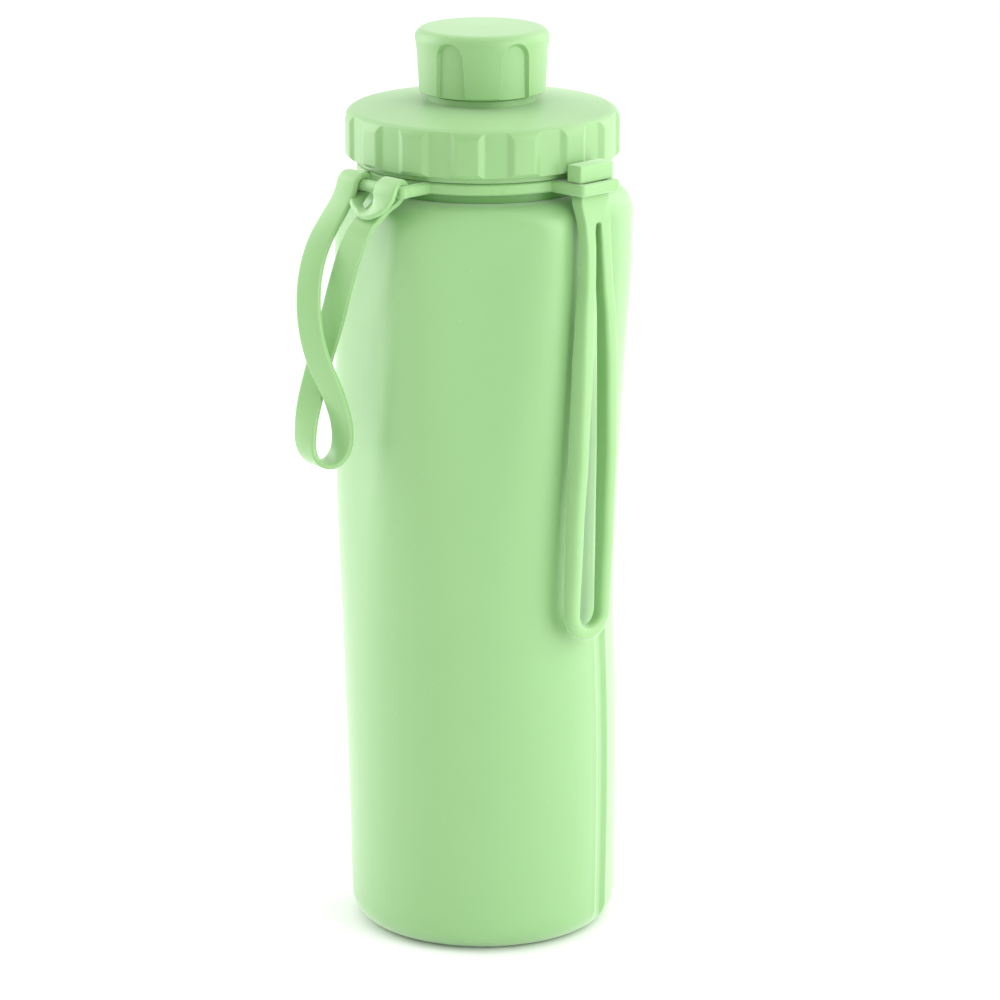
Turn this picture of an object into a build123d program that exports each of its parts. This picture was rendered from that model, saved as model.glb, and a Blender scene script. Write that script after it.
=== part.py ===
from build123d import *
import os
from math import atan, cos, degrees, pi, radians, sin, sqrt, tan

# Folding silicone water bottle, 600 ml, in millimetres.
# +Z is up, the origin is the middle of the base, and the front of the bottle faces -Y.
# An azimuth is measured from the front (-Y), positive towards +X.

# ---------------------------------------------------------------- clearances
RUNNING_GAP = 0.05            # neck insert in the silicone
TURNING_GAP = 0.3             # ring on the neck, strap round the bar
FACE_GAP = 0.1                # between faces that seat on each other
RING_END_GAP = 0.2            # ring to flange and to the lid's lip
THREAD_CREST_GAP = 0.2
THREAD_PLAY = 0.2             # unscrewing play between the two flanks
HEAD_GAP = 0.5                # fold strap's head to the turning lid
RIDGE_SINK = 0.4              # how far a thread's root is rooted in its wall
CUT = 60.0                    # reach of a cutting solid

# ---------------------------------------------------------------- bottle body
BODY_HEIGHT = 190.8           # floor to the top of the shoulder
BODY_STEP = 10.2              # neck spigot out to the upper corners
BODY_TAPER = 3.8              # upper corners in to the round lower end
BODY_WALL = 1.8
BASE_EDGE_RADIUS = 6.4
SHOULDER_RADIUS = 8.0
FACET_TOP_INSET = 3.5         # how far the six facets cut in at the shoulder
FACET_FADE_HEIGHT = 60.0      # below this the body is round
FOLD_LINE_AZIMUTHS = (63.0, -117.0)
FOLD_LINE_WIDTH = 4.6
FOLD_LINE_DEPTH = 0.8
NECK_BOSS_WALL = 3.4
NECK_BOSS_DEPTH = 7.4

# ---------------------------------------------------------------- neck insert
NECK_BORE_RADIUS = 25.0
SPIGOT_WALL = 2.0
GROOVE_WALL = 2.2             # wall in the groove that the strap ring turns in
THREAD_WALL = 3.0
FLANGE_STEP = 1.0             # groove out to the flange that carries the ring
SPIGOT_DEPTH = 6.4            # how far it goes down inside the silicone
BEAD_HEIGHT = 1.6             # bead that locks it in the silicone
BEAD_STEP = 1.2
FLANGE_THICKNESS = 2.1
NECK_THREAD_DEPTH = 1.1
NECK_THREAD_PITCH = 4.0
NECK_THREAD_TURNS = 1.0
NECK_RIM_WIDTH = 7.7          # threaded height above the groove
RIM_CHAMFER = 0.4
SPIGOT_RADIUS = NECK_BORE_RADIUS + SPIGOT_WALL
NECK_GROOVE_RADIUS = NECK_BORE_RADIUS + GROOVE_WALL
NECK_THREAD_ROOT = NECK_BORE_RADIUS + THREAD_WALL
NECK_THREAD_CREST = NECK_THREAD_ROOT + NECK_THREAD_DEPTH
FLANGE_RADIUS = NECK_GROOVE_RADIUS + FLANGE_STEP
BODY_TOP_RADIUS = SPIGOT_RADIUS + BODY_STEP
BASE_RADIUS = BODY_TOP_RADIUS - BODY_TAPER

# ---------------------------------------------------------------- strap ring
RING_HEIGHT = 2.9
RING_WIDTH = 3.5
RING_EDGE = 0.7
LEFT_LUG_AZIMUTH = -45.0
RIGHT_LUG_AZIMUTH = 45.5
LEFT_BAR_REACH = 6.0          # ring out to the bar that the carry loop is hitched on
LEFT_BAR_HALF_LENGTH = 9.2
LEFT_ARM_WIDTH = 2.0
SLOT_WIDTH = 8.4              # slot that the fold strap is buttoned through
SLOT_DEPTH = 3.4
RIGHT_LUG_WALL = 2.2
RING_BORE = NECK_GROOVE_RADIUS + TURNING_GAP
RING_OUTER_RADIUS = RING_BORE + RING_WIDTH
LEFT_BAR_DISTANCE = RING_OUTER_RADIUS + LEFT_BAR_REACH
BAR_RADIUS = RING_HEIGHT / 2

# ---------------------------------------------------------------- lid
LID_GRIP_WALL = 4.7           # lid's bore out to the lobes
LID_GRIP_HEIGHT = 11.8        # underside of the grip to the rim of the deck
LID_EDGE_RADIUS = 2.9
LID_LIP_DROP = 1.6            # inner lip that reaches below the grip
LID_LIP_WALL = 1.5
LID_DOME_RISE = 1.8
LID_DECK = 2.2
GRIP_COUNT = 15
GRIP_DEPTH = 1.0
GRIP_SLOPE = 1.3              # degrees that a lobe's flank leans each way
GRIP_FILLET = 1.3
LID_FOOT_CHAMFER = 0.9
GASKET_THICKNESS = 1.5
GASKET_RIM = 0.4
LID_BORE = NECK_THREAD_CREST + THREAD_CREST_GAP
LID_RADIUS = LID_BORE + LID_GRIP_WALL

# ---------------------------------------------------------------- spout and its cap
SPOUT_BORE_RADIUS = 9.5
SPOUT_WALL = 2.4
SPOUT_HEIGHT = 14.6           # above the collar's foot
SPOUT_EDGE = 0.5
COLLAR_STEP = 1.35
COLLAR_HEIGHT = 2.0
SPOUT_THREAD_DEPTH = 0.9
SPOUT_THREAD_PITCH = 3.0
SPOUT_THREAD_TURNS = 1.0
CAP_WALL = 2.95
CAP_FLARE = 0.6               # wider at the top than at the foot
CAP_EDGE_RADIUS = 2.6
CAP_CROWN = 0.4               # dome of its top
CAP_FOOT_CHAMFER = 0.4
CAP_ROOF = 2.1
CAP_SEAL_THICKNESS = 1.4
CAP_GRIP_COUNT = 6
CAP_GRIP_AZIMUTH = 31.0
CAP_GRIP_WIDTH = 9.0
CAP_GRIP_TOP_WIDTH = 6.8
CAP_GRIP_HEIGHT = 13.0
CAP_GRIP_DEPTH = 0.95
CAP_GRIP_SLOPE = 40.0         # degrees that a recess's sides lean outwards
SPOUT_RADIUS = SPOUT_BORE_RADIUS + SPOUT_WALL
COLLAR_RADIUS = SPOUT_RADIUS + COLLAR_STEP
SPOUT_THREAD_CREST = SPOUT_RADIUS + SPOUT_THREAD_DEPTH
CAP_BORE = SPOUT_THREAD_CREST + THREAD_CREST_GAP + FACE_GAP / 2
CAP_FOOT_RADIUS = CAP_BORE + CAP_WALL
CAP_TOP_RADIUS = CAP_FOOT_RADIUS + CAP_FLARE

# ---------------------------------------------------------------- fold strap
HEAD_WIDTH = 11.6             # T-shaped head above the lug
HEAD_DEPTH = 4.6
HEAD_HEIGHT = 4.3
PLATE_WIDTH = 8.8             # below the lug
STRAP_THICKNESS = 4.4
HINGE_OUTSET = 0.4            # hinge axis outside the slot's middle
HINGE_DROP = 0.8              # hinge axis below the barrel's top
STRAP_LEG_WIDTH = 3.6
STRAP_LOOP_HALF_WIDTH = 7.5
STRAP_LENGTH = 110.8          # hinge axis to the lowest point
STRAP_STAND_OFF = 0.8         # from the widest part of the body
STRAP_SLOT_START = 4.4        # hinge axis to the top of the long slot
STRAP_SLOT_HALF_WIDTH = 0.9   # at its top
SLOT_DISTANCE = LID_RADIUS + HEAD_GAP + HEAD_DEPTH / 2
HINGE_DISTANCE = SLOT_DISTANCE + HINGE_OUTSET

# ---------------------------------------------------------------- carry loop
LOOP_WIDTH = 6.5              # width of the flat strap
HITCH_SPREAD = 6.5            # each wrap from the middle of the bar
HITCH_WIDTH = 4.6
HITCH_RADIUS = 3.0
BIGHT_RADIUS = 0.6            # strap between the two wraps
ROUTE_BAR = (-26.163, -26.163, 194.65)   # middle of the bar that the route is drawn from
# Route of the loop from its left wrap, round the bottom, to its right wrap.
LOOP_ROUTE = [
    (-32.1, -22.9, 192.9),
    (-35.6, -24.6, 190.0),
    (-38.7, -25.1, 186.2),
    (-40.7, -26.0, 179.8),
    (-42.0, -27.2, 172.4),
    (-42.3, -28.2, 164.6),
    (-41.3, -28.8, 157.0),
    (-39.4, -28.8, 150.6),
    (-36.8, -28.2, 144.8),
    (-35.0, -27.2, 139.0),
    (-34.0, -26.3, 133.6),
    (-34.6, -26.1, 128.4),
    (-37.4, -26.4, 125.4),
    (-41.0, -26.9, 125.7),
    (-43.3, -27.2, 129.2),
    (-43.3, -26.5, 134.8),
    (-42.3, -24.6, 140.8),
    (-40.8, -22.5, 146.8),
    (-38.9, -21.3, 153.4),
    (-36.5, -22.4, 161.2),
    (-33.7, -25.6, 169.8),
    (-30.8, -29.0, 178.4),
    (-27.9, -32.2, 185.4),
    (-25.6, -34.0, 189.8),
    (-22.9, -32.1, 192.9),
]

# ---------------------------------------------------------------- heights that follow
FLANGE_BOTTOM = BODY_HEIGHT + FACE_GAP
FLANGE_TOP = FLANGE_BOTTOM + FLANGE_THICKNESS
RING_BOTTOM = FLANGE_TOP + RING_END_GAP
RING_TOP = RING_BOTTOM + RING_HEIGHT
RING_MIDDLE = (RING_BOTTOM + RING_TOP) / 2
LID_LIP_BOTTOM = RING_TOP + RING_END_GAP
LID_BOTTOM = LID_LIP_BOTTOM + LID_LIP_DROP
NECK_GROOVE_TOP = LID_BOTTOM + TURNING_GAP
NECK_RIM = NECK_GROOVE_TOP + NECK_RIM_WIDTH
GASKET_BOTTOM = NECK_RIM + FACE_GAP
GASKET_TOP = GASKET_BOTTOM + GASKET_THICKNESS
LID_CEILING = GASKET_TOP + FACE_GAP
LID_RIM = LID_BOTTOM + LID_GRIP_HEIGHT
COLLAR_FOOT = LID_RIM + LID_DOME_RISE
COLLAR_TOP = COLLAR_FOOT + COLLAR_HEIGHT
CAP_BOTTOM = COLLAR_TOP + RING_END_GAP
SPOUT_RIM = COLLAR_FOOT + SPOUT_HEIGHT
CAP_SEAL_BOTTOM = SPOUT_RIM + FACE_GAP
CAP_SEAL_TOP = CAP_SEAL_BOTTOM + CAP_SEAL_THICKNESS
CAP_CEILING = CAP_SEAL_TOP + FACE_GAP
CAP_TOP = CAP_CEILING + CAP_ROOF
HINGE_HEIGHT = RING_BOTTOM - FACE_GAP - STRAP_THICKNESS / 2 - HINGE_DROP


# ---------------------------------------------------------------- helpers
def cylinder(radius, bottom, top):
    """Upright cylinder on the axis, between two heights."""
    upright = (Align.CENTER, Align.CENTER, Align.MIN)
    return Pos(0, 0, bottom) * Cylinder(radius, top - bottom, align=upright)


def ring(outer, inner, bottom, top):
    """Upright ring on the axis."""
    return cylinder(outer, bottom, top) - cylinder(inner, bottom, top)


def turned(points):
    """Body of revolution from a closed outline of (radius, height) points."""
    return revolve(Plane.XZ * make_face(Polyline(*points, close=True)), Axis.Z)


def facing(azimuth):
    """Rotation that turns the front (-Y) to an azimuth."""
    return Rot(0, 0, azimuth)


def side_plane(azimuth):
    """Vertical plane through the axis: x is the distance outwards, y is up."""
    out = (sin(radians(azimuth)), -cos(radians(azimuth)), 0)
    along = (cos(radians(azimuth)), sin(radians(azimuth)), 0)
    return Plane(origin=(0, 0, 0), x_dir=out, z_dir=tuple(-value for value in along))


def front_plane(azimuth):
    """Vertical plane facing outwards at an azimuth: x runs round, y is up."""
    out = (sin(radians(azimuth)), -cos(radians(azimuth)), 0)
    along = (cos(radians(azimuth)), sin(radians(azimuth)), 0)
    return Plane(origin=(0, 0, 0), x_dir=along, z_dir=out)


def thread_ridge(root, crest, pitch, turns, start, side_width, crest_width):
    """Helical ridge from a wall at the root radius to the crest radius."""
    outwards = 1 if crest > root else -1
    flank = (side_width - crest_width) / 2 / abs(crest - root)
    rooted_half = side_width / 2 + flank * RIDGE_SINK
    rooted = root - outwards * RIDGE_SINK
    outline = [
        (rooted, -rooted_half),
        (crest, -crest_width / 2),
        (crest, crest_width / 2),
        (rooted, rooted_half),
    ]
    section = Pos(0, 0, start) * (Plane.XZ * make_face(Polyline(*outline, close=True)))
    path = Pos(0, 0, start) * Helix(pitch, pitch * turns, root)
    return sweep(section, path=path, is_frenet=True)


def thread_pair(root, crest, pitch, turns, start, bore):
    """Outer thread on a neck and the inner thread that runs on it."""
    side_width = 0.6 * pitch
    crest_width = 0.3 * pitch
    outer = thread_ridge(root, crest, pitch, turns, start, side_width, crest_width)
    inner_crest = root + THREAD_CREST_GAP + FACE_GAP / 2
    inner_start = start - pitch / 2 + THREAD_PLAY
    inner = thread_ridge(bore, inner_crest, pitch, turns, inner_start, side_width, crest_width)
    return outer, inner


# ---------------------------------------------------------------- bottle body
def body_form(inset):
    """Closed form of the body, with every face moved in by the inset."""
    profile = [
        (0, inset),
        (BASE_RADIUS - inset, inset),
        (BODY_TOP_RADIUS - inset, BODY_HEIGHT - inset),
        (0, BODY_HEIGHT - inset),
    ]
    outline = make_face(Polyline(*profile, close=True))
    lower, upper = outline.vertices().filter_by(lambda v: v.X > 1).sort_by(Axis.Y)
    outline = fillet(lower, BASE_EDGE_RADIUS - inset)
    upper = outline.vertices().sort_by(Axis.Y)[-2:].sort_by(Axis.X)[-1]
    outline = fillet(upper, SHOULDER_RADIUS - inset)
    round_form = revolve(Plane.XZ * outline, Axis.Z)
    lean = (BODY_TOP_RADIUS - BASE_RADIUS) / BODY_HEIGHT
    fade_radius = BASE_RADIUS + lean * FACET_FADE_HEIGHT
    shoulder_height = BODY_HEIGHT - SHOULDER_RADIUS
    shoulder_facet = BODY_TOP_RADIUS - FACET_TOP_INSET
    taper = (fade_radius - shoulder_facet) / (shoulder_height - FACET_FADE_HEIGHT)
    start = fade_radius + taper * (FACET_FADE_HEIGHT + CUT) - inset
    hexagon = RegularPolygon(start, 6, major_radius=False)
    facets = extrude(Plane.XY.offset(-CUT) * hexagon, BODY_HEIGHT + 2 * CUT, taper=degrees(atan(taper)))
    return round_form & facets


def fold_line_cutter(azimuth):
    """Upright bar along one fold line, from the base edge to the shoulder."""
    top = BODY_HEIGHT - SHOULDER_RADIUS / 2
    middle = BASE_RADIUS
    bar = Pos(0, -middle, top / 2 - 1) * Box(FOLD_LINE_WIDTH, SHOULDER_RADIUS * 2, top + 2)
    return facing(azimuth) * bar


def bottle_body():
    """Silicone body: thin wall, thick neck boss, and two folding lines."""
    grooved = body_form(FOLD_LINE_DEPTH)
    shell = body_form(0)
    for azimuth in FOLD_LINE_AZIMUTHS:
        cutter = fold_line_cutter(azimuth)
        shell = (shell - cutter) + (grooved & cutter)
    hollow = body_form(BODY_WALL)
    bore = SPIGOT_RADIUS + RUNNING_GAP
    boss_bottom = BODY_HEIGHT - NECK_BOSS_DEPTH
    hollow -= ring(bore + NECK_BOSS_WALL, bore, boss_bottom, BODY_HEIGHT)
    body = shell - hollow
    body -= cylinder(bore, boss_bottom - 1, BODY_HEIGHT + 1)
    bead_bottom, bead_top = bead_heights()
    pocket = ring(bore + BEAD_STEP, bore - 1, bead_bottom - RUNNING_GAP, bead_top + RUNNING_GAP)
    return body - pocket


def bead_heights():
    """Bottom and top of the bead on the neck insert's spigot."""
    bottom = FLANGE_BOTTOM - SPIGOT_DEPTH + BEAD_HEIGHT
    return bottom, bottom + BEAD_HEIGHT


# ---------------------------------------------------------------- neck insert
def neck_threads():
    """Outer thread of the neck and the lid's inner thread."""
    start = NECK_GROOVE_TOP + 0.3 * NECK_THREAD_PITCH + 0.5
    return thread_pair(
        NECK_THREAD_ROOT, NECK_THREAD_CREST, NECK_THREAD_PITCH, NECK_THREAD_TURNS, start, LID_BORE
    )


def neck_insert():
    """Stiff threaded neck with its spigot, bead, flange and ring groove."""
    bead_bottom, bead_top = bead_heights()
    spigot_bottom = FLANGE_BOTTOM - SPIGOT_DEPTH
    bead_radius = SPIGOT_RADIUS + BEAD_STEP
    neck = turned([
        (NECK_BORE_RADIUS, spigot_bottom),
        (SPIGOT_RADIUS, spigot_bottom),
        (SPIGOT_RADIUS, bead_bottom),
        (bead_radius, bead_bottom),
        (bead_radius, bead_top),
        (SPIGOT_RADIUS, bead_top),
        (SPIGOT_RADIUS, FLANGE_BOTTOM),
        (FLANGE_RADIUS, FLANGE_BOTTOM),
        (FLANGE_RADIUS, FLANGE_TOP),
        (NECK_GROOVE_RADIUS, FLANGE_TOP),
        (NECK_GROOVE_RADIUS, NECK_GROOVE_TOP),
        (NECK_THREAD_ROOT, NECK_GROOVE_TOP),
        (NECK_THREAD_ROOT, NECK_RIM - RIM_CHAMFER),
        (NECK_THREAD_ROOT - RIM_CHAMFER, NECK_RIM),
        (NECK_BORE_RADIUS, NECK_RIM),
    ])
    return neck + neck_threads()[0]


# ---------------------------------------------------------------- strap ring
def strap_ring():
    """Soft ring round the neck with a barred lug and a slotted lug."""
    band = Circle(RING_OUTER_RADIUS)
    left_reach = LEFT_BAR_DISTANCE - RING_BORE
    arm_middle = LEFT_BAR_HALF_LENGTH + LEFT_ARM_WIDTH / 2
    for side in (-1, 1):
        arm = Pos(side * arm_middle, -RING_BORE - left_reach / 2) * Rectangle(LEFT_ARM_WIDTH, left_reach)
        arm += Pos(side * arm_middle, -LEFT_BAR_DISTANCE) * Circle(BAR_RADIUS)
        band += facing(LEFT_LUG_AZIMUTH) * arm
    lug_width = SLOT_WIDTH + 2 * RIGHT_LUG_WALL + 0.6
    lug_end = SLOT_DISTANCE + SLOT_DEPTH / 2 + RIGHT_LUG_WALL
    lug_reach = lug_end - RING_BORE
    lug = Pos(0, -RING_BORE - lug_reach / 2) * RectangleRounded(lug_width, lug_reach, 1.0)
    band += facing(RIGHT_LUG_AZIMUTH) * lug
    band -= Circle(RING_BORE)
    slot = Pos(0, -SLOT_DISTANCE) * RectangleRounded(SLOT_WIDTH, SLOT_DEPTH, 0.8)
    band -= facing(RIGHT_LUG_AZIMUTH) * slot
    solid = extrude(Pos(0, 0, RING_BOTTOM) * band, RING_HEIGHT)
    rims = solid.edges().filter_by(lambda e: e.center().Z > RING_TOP - 0.01 or e.center().Z < RING_BOTTOM + 0.01)
    outer = rims.filter_by(lambda e: sqrt(e.center().X ** 2 + e.center().Y ** 2) > RING_BORE + 1 or e.length > 20)
    outer = outer.filter_by(lambda e: e.length < 0.9 * 2 * pi * RING_BORE)
    solid = fillet(outer, RING_EDGE)
    bar = Rot(0, 90, 0) * Cylinder(BAR_RADIUS - 0.02, 2 * arm_middle)
    solid += facing(LEFT_LUG_AZIMUTH) * Pos(0, -LEFT_BAR_DISTANCE, RING_MIDDLE) * bar
    return solid


# ---------------------------------------------------------------- lid
def grip_outline():
    """Outline of the lid's grip: lobes with leaning flanks and recesses, a half period each."""
    period = 360 / GRIP_COUNT
    floor = LID_RADIUS - GRIP_DEPTH
    outline = Circle(floor)
    rim = Circle(LID_RADIUS)
    foot = radians(period / 4 + GRIP_SLOPE)
    crest = radians(period / 4 - GRIP_SLOPE)
    run = LID_RADIUS * sin(crest) - floor * sin(foot)
    rise = LID_RADIUS * cos(crest) - floor * cos(foot)
    inner = (floor * sin(foot) - run, floor * cos(foot) - rise)
    outer = (LID_RADIUS * sin(crest) + run, LID_RADIUS * cos(crest) + rise)
    lobe = make_face(Polyline(
        inner, outer, (-outer[0], outer[1]), (-inner[0], inner[1]), close=True,
    ))
    for index in range(GRIP_COUNT):
        outline += Rot(0, 0, 180 + (index + 0.75) * period) * lobe & rim
    return fillet(outline.vertices(), GRIP_FILLET)


def lid():
    """Screw lid: scalloped grip, domed deck, lip, inner thread and threaded spout."""
    lip = LID_BORE + LID_LIP_WALL
    corner_start = LID_RIM - LID_EDGE_RADIUS
    corner_middle = LID_EDGE_RADIUS * sin(radians(45))
    shoulder = LID_RADIUS - LID_EDGE_RADIUS
    dome_middle = (shoulder + COLLAR_RADIUS) / 2
    underside = COLLAR_FOOT - LID_DECK
    seat_inner = NECK_BORE_RADIUS - GASKET_RIM
    outline = [
        Polyline(
            (shoulder, LID_RIM), (SPOUT_BORE_RADIUS, LID_RIM), (SPOUT_BORE_RADIUS, underside),
            (seat_inner, LID_CEILING + 0.5), (seat_inner, LID_CEILING), (LID_BORE, LID_CEILING),
            (LID_BORE, LID_LIP_BOTTOM), (lip, LID_LIP_BOTTOM), (lip, LID_BOTTOM),
            (LID_RADIUS - LID_FOOT_CHAMFER, LID_BOTTOM), (LID_RADIUS, LID_BOTTOM + LID_FOOT_CHAMFER),
            (LID_RADIUS, corner_start),
        ),
        ThreePointArc(
            (LID_RADIUS, corner_start),
            (shoulder + corner_middle, corner_start + corner_middle),
            (shoulder, LID_RIM),
        ),
    ]
    skirt = revolve(Plane.XZ * make_face(outline), Axis.Z)
    grip = extrude(Pos(0, 0, LID_LIP_BOTTOM - 1) * grip_outline(), LID_GRIP_HEIGHT + 10)
    skirt &= grip
    dome_rise = 0.62 * LID_DOME_RISE
    dome_outline = [
        Polyline(
            (COLLAR_RADIUS, COLLAR_FOOT), (SPOUT_BORE_RADIUS, COLLAR_FOOT),
            (SPOUT_BORE_RADIUS, LID_RIM), (shoulder, LID_RIM),
        ),
        ThreePointArc(
            (shoulder, LID_RIM), (dome_middle, LID_RIM + dome_rise), (COLLAR_RADIUS, COLLAR_FOOT)
        ),
    ]
    deck = revolve(Plane.XZ * make_face(dome_outline), Axis.Z)
    spout = turned([
        (SPOUT_BORE_RADIUS, LID_RIM),
        (COLLAR_RADIUS, LID_RIM),
        (COLLAR_RADIUS, COLLAR_TOP - SPOUT_EDGE),
        (COLLAR_RADIUS - SPOUT_EDGE, COLLAR_TOP),
        (SPOUT_RADIUS, COLLAR_TOP),
        (SPOUT_RADIUS, SPOUT_RIM - SPOUT_EDGE),
        (SPOUT_RADIUS - SPOUT_EDGE, SPOUT_RIM),
        (SPOUT_BORE_RADIUS, SPOUT_RIM),
    ])
    return skirt + deck + spout + neck_threads()[1] + spout_threads()[0]


def lid_gasket():
    """Flat seal between the neck's rim and the lid's ceiling."""
    return ring(NECK_THREAD_ROOT + GASKET_RIM, NECK_BORE_RADIUS, GASKET_BOTTOM, GASKET_TOP)


# ---------------------------------------------------------------- spout cap
def spout_threads():
    """Outer thread of the spout and the cap's inner thread."""
    start = COLLAR_TOP + 0.3 * SPOUT_THREAD_PITCH + 3.0
    return thread_pair(
        SPOUT_RADIUS, SPOUT_THREAD_CREST, SPOUT_THREAD_PITCH, SPOUT_THREAD_TURNS, start, CAP_BORE
    )


def cap_grip_cutter():
    """Arch-topped recess in the cap's side, facing the front, with leaning sides."""
    start = CAP_FOOT_RADIUS - 2 * CAP_GRIP_DEPTH
    spread = 1.5 * CAP_GRIP_DEPTH * tan(radians(CAP_GRIP_SLOPE))
    half_foot = CAP_GRIP_WIDTH / 2 - spread
    half_top = CAP_GRIP_TOP_WIDTH / 2 - spread
    spring = CAP_BOTTOM + CAP_GRIP_HEIGHT - half_top - spread
    below = CAP_BOTTOM - 4
    arch = make_face([
        Polyline((-half_top, spring), (-half_foot, below), (half_foot, below), (half_top, spring)),
        ThreePointArc((half_top, spring), (0, spring + half_top), (-half_top, spring)),
    ])
    return extrude(Plane.XZ.offset(start) * arch, 4 * CAP_GRIP_DEPTH, taper=-CAP_GRIP_SLOPE)


def spout_cap():
    """Screw cap over the spout, with arch-topped grip recesses."""
    corner_start = CAP_TOP - CAP_EDGE_RADIUS - CAP_CROWN
    shoulder = CAP_TOP_RADIUS - CAP_EDGE_RADIUS
    corner_middle = CAP_EDGE_RADIUS * sin(radians(45))
    outline = [
        Polyline(
            (0, CAP_TOP), (0, CAP_CEILING), (CAP_BORE, CAP_CEILING), (CAP_BORE, CAP_BOTTOM),
            (CAP_FOOT_RADIUS - CAP_FOOT_CHAMFER, CAP_BOTTOM), (CAP_FOOT_RADIUS, CAP_BOTTOM + CAP_FOOT_CHAMFER),
            (CAP_TOP_RADIUS, corner_start),
        ),
        ThreePointArc(
            (CAP_TOP_RADIUS, corner_start),
            (shoulder + corner_middle, corner_start + corner_middle),
            (shoulder, corner_start + CAP_EDGE_RADIUS),
        ),
        Polyline((shoulder, corner_start + CAP_EDGE_RADIUS), (0, CAP_TOP)),
    ]
    cap = revolve(Plane.XZ * make_face(outline), Axis.Z)
    floor = turned([
        (0, CAP_BOTTOM - 2),
        (CAP_FOOT_RADIUS - CAP_GRIP_DEPTH, CAP_BOTTOM - 2),
        (CAP_TOP_RADIUS - CAP_GRIP_DEPTH, CAP_TOP + 2),
        (0, CAP_TOP + 2),
    ])
    for index in range(CAP_GRIP_COUNT):
        turn = CAP_GRIP_AZIMUTH + index * 360 / CAP_GRIP_COUNT
        cap -= facing(turn) * cap_grip_cutter() - floor
    return cap + spout_threads()[1]


def spout_cap_seal():
    """Soft disc in the cap's roof that closes the spout."""
    return cylinder(SPOUT_THREAD_CREST - GASKET_RIM, CAP_SEAL_BOTTOM, CAP_SEAL_TOP)


# ---------------------------------------------------------------- fold strap
def fold_strap_head():
    """T-shaped head above the lug, the neck through its slot, and the plate below."""
    neck = Box(SLOT_WIDTH - 2 * TURNING_GAP, SLOT_DEPTH - 2 * TURNING_GAP, RING_HEIGHT + 1)
    head_bottom = RING_TOP + FACE_GAP
    head = Pos(0, 0, head_bottom + HEAD_HEIGHT / 2 - RING_MIDDLE) * Box(HEAD_WIDTH, HEAD_DEPTH, HEAD_HEIGHT)
    button = facing(RIGHT_LUG_AZIMUTH) * Pos(0, -SLOT_DISTANCE, RING_MIDDLE) * (neck + head)
    plate_top = RING_BOTTOM - FACE_GAP
    half = STRAP_THICKNESS / 2
    side = make_face([
        Polyline(
            (HINGE_DISTANCE - half, HINGE_HEIGHT), (HINGE_DISTANCE - half, plate_top),
            (HINGE_DISTANCE + half, plate_top), (HINGE_DISTANCE + half, HINGE_HEIGHT),
        ),
        ThreePointArc(
            (HINGE_DISTANCE + half, HINGE_HEIGHT), (HINGE_DISTANCE, HINGE_HEIGHT - half),
            (HINGE_DISTANCE - half, HINGE_HEIGHT),
        ),
    ])
    plate = extrude(side_plane(RIGHT_LUG_AZIMUTH) * side, PLATE_WIDTH / 2, both=True)
    return button + plate


def fold_strap():
    """Long moulded loop below the hinge line."""
    gap_radius = STRAP_THICKNESS / 2 + TURNING_GAP
    inner_face = BODY_TOP_RADIUS + STRAP_STAND_OFF
    outer_face = inner_face + STRAP_THICKNESS
    shoulder_height = BODY_HEIGHT - SHOULDER_RADIUS
    lowest = HINGE_HEIGHT - STRAP_LENGTH
    side = make_face(Polyline(
        (HINGE_DISTANCE - 1.0, HINGE_HEIGHT),
        (HINGE_DISTANCE - 0.8, HINGE_HEIGHT - 2.0),
        (inner_face, shoulder_height + 1.0),
        (inner_face, lowest),
        (outer_face, lowest),
        (outer_face, shoulder_height + 1.5),
        (HINGE_DISTANCE + 2.1, HINGE_HEIGHT - 2.6),
        (HINGE_DISTANCE + 1.2, HINGE_HEIGHT),
        close=True,
    ))
    side_band = extrude(side_plane(RIGHT_LUG_AZIMUTH) * side, STRAP_LOOP_HALF_WIDTH + 1, both=True)
    half_top = PLATE_WIDTH / 2 - 0.3
    turn_height = lowest + STRAP_LOOP_HALF_WIDTH
    inner_half = STRAP_LOOP_HALF_WIDTH - STRAP_LEG_WIDTH
    outside = outline_half_loop(half_top, 0.0, HINGE_HEIGHT, turn_height, STRAP_LOOP_HALF_WIDTH)
    inside = outline_half_loop(STRAP_SLOT_HALF_WIDTH, STRAP_SLOT_START, HINGE_HEIGHT, turn_height, inner_half)
    front = extrude(front_plane(RIGHT_LUG_AZIMUTH) * (outside - inside), CUT)
    loop = side_band & front
    barrel = side_plane(RIGHT_LUG_AZIMUTH) * Pos(HINGE_DISTANCE, HINGE_HEIGHT) * Circle(gap_radius)
    return loop - extrude(barrel, STRAP_LOOP_HALF_WIDTH + 2, both=True)


def outline_half_loop(top_half, start_drop, hinge, turn_height, full_half):
    """Long drop shape, narrow at the top and round at the bottom."""
    top = hinge - start_drop
    length = top - turn_height
    narrow_end = top - 0.06 * length
    narrow_half = top_half + 0.05 * (full_half - top_half)
    bulge_end = top - 0.62 * length
    bulge_half = top_half + 0.88 * (full_half - top_half)
    quarter_end = top - 0.27 * length
    quarter_half = top_half + 0.5 * (full_half - top_half)
    return make_face([
        Polyline(
            (full_half, turn_height), (bulge_half, bulge_end), (quarter_half, quarter_end),
            (narrow_half, narrow_end), (top_half, top), (-top_half, top), (-narrow_half, narrow_end),
            (-quarter_half, quarter_end), (-bulge_half, bulge_end), (-full_half, turn_height),
        ),
        ThreePointArc((-full_half, turn_height), (0, turn_height - full_half), (full_half, turn_height)),
    ])


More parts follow.
